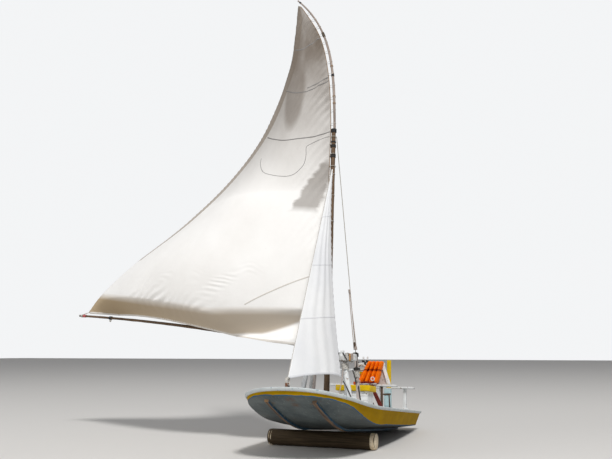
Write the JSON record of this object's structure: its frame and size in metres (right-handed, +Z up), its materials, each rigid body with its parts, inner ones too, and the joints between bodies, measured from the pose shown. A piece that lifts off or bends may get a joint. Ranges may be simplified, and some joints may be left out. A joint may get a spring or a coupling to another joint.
{
  "type": "sailing dinghy",
  "caption": "Decked plank beach sailing boat on a log roller, bow up, with a bent pole mast, a loose-footed mainsail on a boom and a small jib.",
  "frame": {"origin": "on the ground below the middle of the whole outline, sail and boom included", "axes": "+X towards the bow, +Y to port, +Z up"},
  "size_m": [4.7511, 6.4736, 8.0024],
  "materials": {
    "hull_paint": "worn grey-blue and mustard paint on planks",
    "deck_paint": "worn white paint",
    "white_paint": "worn white paint",
    "yellow_paint": "mustard-yellow paint",
    "red_paint": "worn dark red paint",
    "teal_paint": "worn pale teal paint",
    "runner_paint": "wood worn bare, blue paint on its sides",
    "log_wood": "weathered log, pale cut ends",
    "mast_wood": "bare brown pole",
    "pale_wood": "bare weathered pole",
    "sailcloth": "white cotton or polyester cloth",
    "rope": "twisted fibre rope",
    "orange_cloth": "orange nylon over foam",
    "rusty_steel": "rusty"
  },
  "bodies": {
    "boat": {"hull": "hull_paint", "deck": "deck_paint", "rub_rail": "white_paint", "runner_port": "runner_paint", "runner_starboard": "runner_paint", "log_roller": "log_wood", "mast_step": "white_paint", "mast_bench_plank": "white_paint", "mast_bench_post_port": "white_paint", "mast_bench_post_starboard": "white_paint", "mast_bench_leg_port": "white_paint", "mast_bench_leg_starboard": "white_paint", "rack_pole_port": "white_paint", "rack_pole_starboard": "white_paint", "rack_rail": "white_paint", "deck_box": "white_paint", "box_hinge": "white_paint", "vest_rack_post_port": "white_paint", "vest_rack_post_inner": "white_paint", "vest_rack_rail": "white_paint", "rack_board": "yellow_paint", "life_vest_1": "orange_cloth", "life_vest_2": "orange_cloth", "life_vest_3": "orange_cloth", "life_vest_4": "orange_cloth", "stern_bench_plank": "white_paint", "stern_bench_leg_port": "white_paint", "stern_bench_leg_starboard": "white_paint", "steering_bench_plank": "white_paint", "steering_bench_leg_port": "white_paint", "steering_bench_leg_starboard": "white_paint", "yellow_post": "yellow_paint", "leaning_plank": "red_paint", "locker": "teal_paint", "jib": "sailcloth", "stay_port": "rope", "stay_collar": "rope", "jib_head_ring": "rope", "bow_eye": "rusty_steel"},
    "rig": {"lower_mast": "mast_wood", "topmast": "pale_wood", "boom": "mast_wood", "boom_jaw_fore": "mast_wood", "boom_jaw_aft": "mast_wood", "mainsail": "sailcloth"},
    "lid": {"box_lid": "yellow_paint"}
  },
  "joints": [
    {"name": "mast_turn", "type": "hinge", "parent": "boat", "child": "rig", "pos_m": [0.74022, 2.263, 0.69938], "axis": [-0.1011, 0, 0.9949], "range_deg": [-70, 8]},
    {"name": "lid_hinge", "type": "hinge", "parent": "boat", "child": "lid", "pos_m": [-0.3306, 2.263, 0.80169], "axis": [0, 1, 0], "range_deg": [0, 90]}
  ]
}
